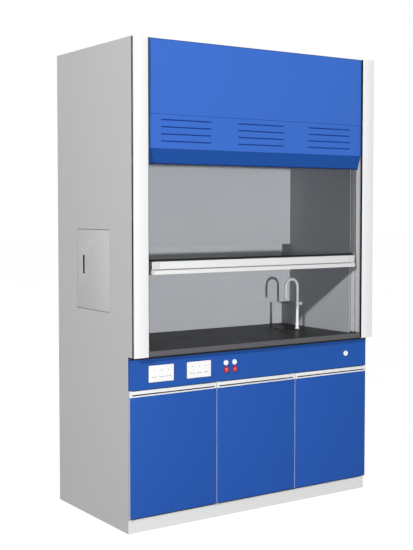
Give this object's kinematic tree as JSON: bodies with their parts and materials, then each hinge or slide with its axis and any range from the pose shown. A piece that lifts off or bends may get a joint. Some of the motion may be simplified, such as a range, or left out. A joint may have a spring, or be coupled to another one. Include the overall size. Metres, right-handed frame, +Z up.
{
  "type": "fume hood",
  "caption": "Floor-standing steel fume hood: counterweighted glass sash, baffled chamber, louvred fascia, service panel, cupboard doors and roof exhaust collar.",
  "frame": {"origin": "bottom centre of the hood's overall box, on the floor", "axes": "+X to the user's right, +Y from the front to the rear, +Z up"},
  "size_m": [1.5, 0.8, 2.35],
  "materials": {
    "casing_grey": "satin",
    "post_white": "satin",
    "fascia_blue": "satin",
    "door_blue": "satin",
    "service_blue": "satin",
    "plinth_white": "satin",
    "liner_grey": "satin",
    "baffle_grey": "satin",
    "worktop_black": "gloss",
    "sink_black": "satin",
    "trap_grey": "satin",
    "tap_white": "gloss",
    "track_grey": "satin",
    "sash_aluminium": "satin",
    "sash_glass": "gloss",
    "cap_grey": "satin",
    "handle_white": "satin",
    "frame_steel": "satin",
    "weight_steel": "matte",
    "cable_steel": "satin",
    "pulley_plastic": "satin",
    "socket_white": "gloss",
    "disc_white": "gloss",
    "knob_red": "gloss",
    "knob_white": "gloss",
    "valve_brass": "satin",
    "collar_steel": "satin",
    "lamp_white": "satin",
    "lamp_glass": "gloss",
    "diffuser_opal": "satin",
    "screw_steel": "satin"
  },
  "bodies": {
    "root": {"side_panel_left": "casing_grey", "side_panel_right": "casing_grey", "rear_panel": "casing_grey", "rear_panel_screws": "screw_steel", "roof_panel": "casing_grey", "exhaust_collar": "collar_steel", "fascia_panel": "fascia_blue", "post_left": "post_white", "post_right": "post_white", "sash_track_left": "track_grey", "sash_track_right": "track_grey", "upper_frame": "frame_steel", "base_frame": "frame_steel", "liner_left": "liner_grey", "liner_right": "liner_grey", "liner_rear": "liner_grey", "liner_roof": "liner_grey", "baffle_upper": "baffle_grey", "baffle_middle": "baffle_grey", "baffle_spacers": "baffle_grey", "lamp_housing": "lamp_white", "lamp_tube": "lamp_glass", "lamp_diffuser": "diffuser_opal", "gas_nozzle": "tap_white", "worktop": "worktop_black", "cup_sink": "sink_black", "sink_trap": "trap_grey", "tap_base": "tap_white", "plinth": "plinth_white", "levelling_feet": "frame_steel", "cabinet_floor": "casing_grey", "cabinet_dividers": "casing_grey", "door_pivots": "frame_steel", "service_panel": "service_blue", "socket_left": "socket_white", "socket_right": "socket_white", "index_discs": "disc_white", "valve_bodies": "valve_brass", "pulley_brackets": "frame_steel", "sash_cables": "cable_steel"},
    "sash": {"sash_frame": "sash_aluminium", "sash_glass": "sash_glass", "sash_handle": "sash_aluminium", "sash_end_caps": "cap_grey"},
    "counterweight_left": {"counterweight_left": "weight_steel"},
    "counterweight_right": {"counterweight_right": "weight_steel"},
    "pulley_left": {"pulley_left": "pulley_plastic"},
    "pulley_right": {"pulley_right": "pulley_plastic"},
    "door_left": {"door_left": "door_blue", "door_handle_left": "handle_white"},
    "door_middle": {"door_middle": "door_blue", "door_handle_middle": "handle_white"},
    "door_right": {"door_right": "door_blue", "door_handle_right": "handle_white"},
    "gas_knob_left": {"gas_knob_left": "knob_red"},
    "gas_knob_right": {"gas_knob_right": "knob_red"},
    "water_knob": {"water_knob": "knob_white"},
    "tap_spout": {"tap_spout": "tap_white"},
    "service_hatch_left": {"service_hatch_left": "casing_grey"},
    "service_hatch_right": {"service_hatch_right": "casing_grey"}
  },
  "joints": [
    {"name": "sash_slide", "type": "slide", "parent": "root", "child": "sash", "axis": [0, 0, 1], "range_m": [-0.356, 0.07], "deforming": ["sash_cables"]},
    {"name": "counterweight_left_slide", "type": "slide", "parent": "root", "child": "counterweight_left", "axis": [0, 0, 1], "range_m": [-0.07, 0.356]},
    {"name": "counterweight_right_slide", "type": "slide", "parent": "root", "child": "counterweight_right", "axis": [0, 0, 1], "range_m": [-0.07, 0.356]},
    {"name": "pulley_left_spin", "type": "hinge", "parent": "root", "child": "pulley_left", "pos_m": [-0.702, -0.344, 2.255], "axis": [0, 1, 0], "range_deg": [-185, 930]},
    {"name": "pulley_right_spin", "type": "hinge", "parent": "root", "child": "pulley_right", "pos_m": [0.702, -0.344, 2.255], "axis": [0, 1, 0], "range_deg": [-930, 185]},
    {"name": "door_left_hinge", "type": "hinge", "parent": "root", "child": "door_left", "pos_m": [-0.744, -0.346, 0.38], "axis": [0, 0, -1], "range_deg": [0, 95]},
    {"name": "door_middle_hinge", "type": "hinge", "parent": "root", "child": "door_middle", "pos_m": [-0.243, -0.346, 0.38], "axis": [0, 0, -1], "range_deg": [0, 95]},
    {"name": "door_right_hinge", "type": "hinge", "parent": "root", "child": "door_right", "pos_m": [0.744, -0.346, 0.38], "axis": [0, 0, 1], "range_deg": [0, 95]},
    {"name": "gas_knob_left_turn", "type": "hinge", "parent": "root", "child": "gas_knob_left", "pos_m": [-0.195, -0.36, 0.7475], "axis": [0, 1, 0], "range_deg": [0, 90]},
    {"name": "gas_knob_right_turn", "type": "hinge", "parent": "root", "child": "gas_knob_right", "pos_m": [-0.1425, -0.36, 0.7475], "axis": [0, 1, 0], "range_deg": [0, 90]},
    {"name": "water_knob_turn", "type": "hinge", "parent": "root", "child": "water_knob", "pos_m": [0.598, -0.36, 0.766], "axis": [0, 1, 0], "range_deg": [0, 90]},
    {"name": "tap_spout_swivel", "type": "hinge", "parent": "root", "child": "tap_spout", "pos_m": [0.557, 0.011, 0.93], "axis": [0, 0, 1], "range_deg": [-90, 90]},
    {"name": "service_hatch_left_hinge", "type": "hinge", "parent": "root", "child": "service_hatch_left", "pos_m": [-0.746, -0.152, 1.2475], "axis": [0, 0, 1], "range_deg": [0, 100]},
    {"name": "service_hatch_right_hinge", "type": "hinge", "parent": "root", "child": "service_hatch_right", "pos_m": [0.746, -0.152, 1.2475], "axis": [0, 0, -1], "range_deg": [0, 100]}
  ],
  "couplings": [
    {"joint": "counterweight_left_slide", "follows": "sash_slide", "ratio": -1},
    {"joint": "counterweight_right_slide", "follows": "sash_slide", "ratio": -1},
    {"joint": "pulley_left_spin", "follows": "sash_slide", "rad_per_m": -45.455},
    {"joint": "pulley_right_spin", "follows": "sash_slide", "rad_per_m": 45.455}
  ]
}
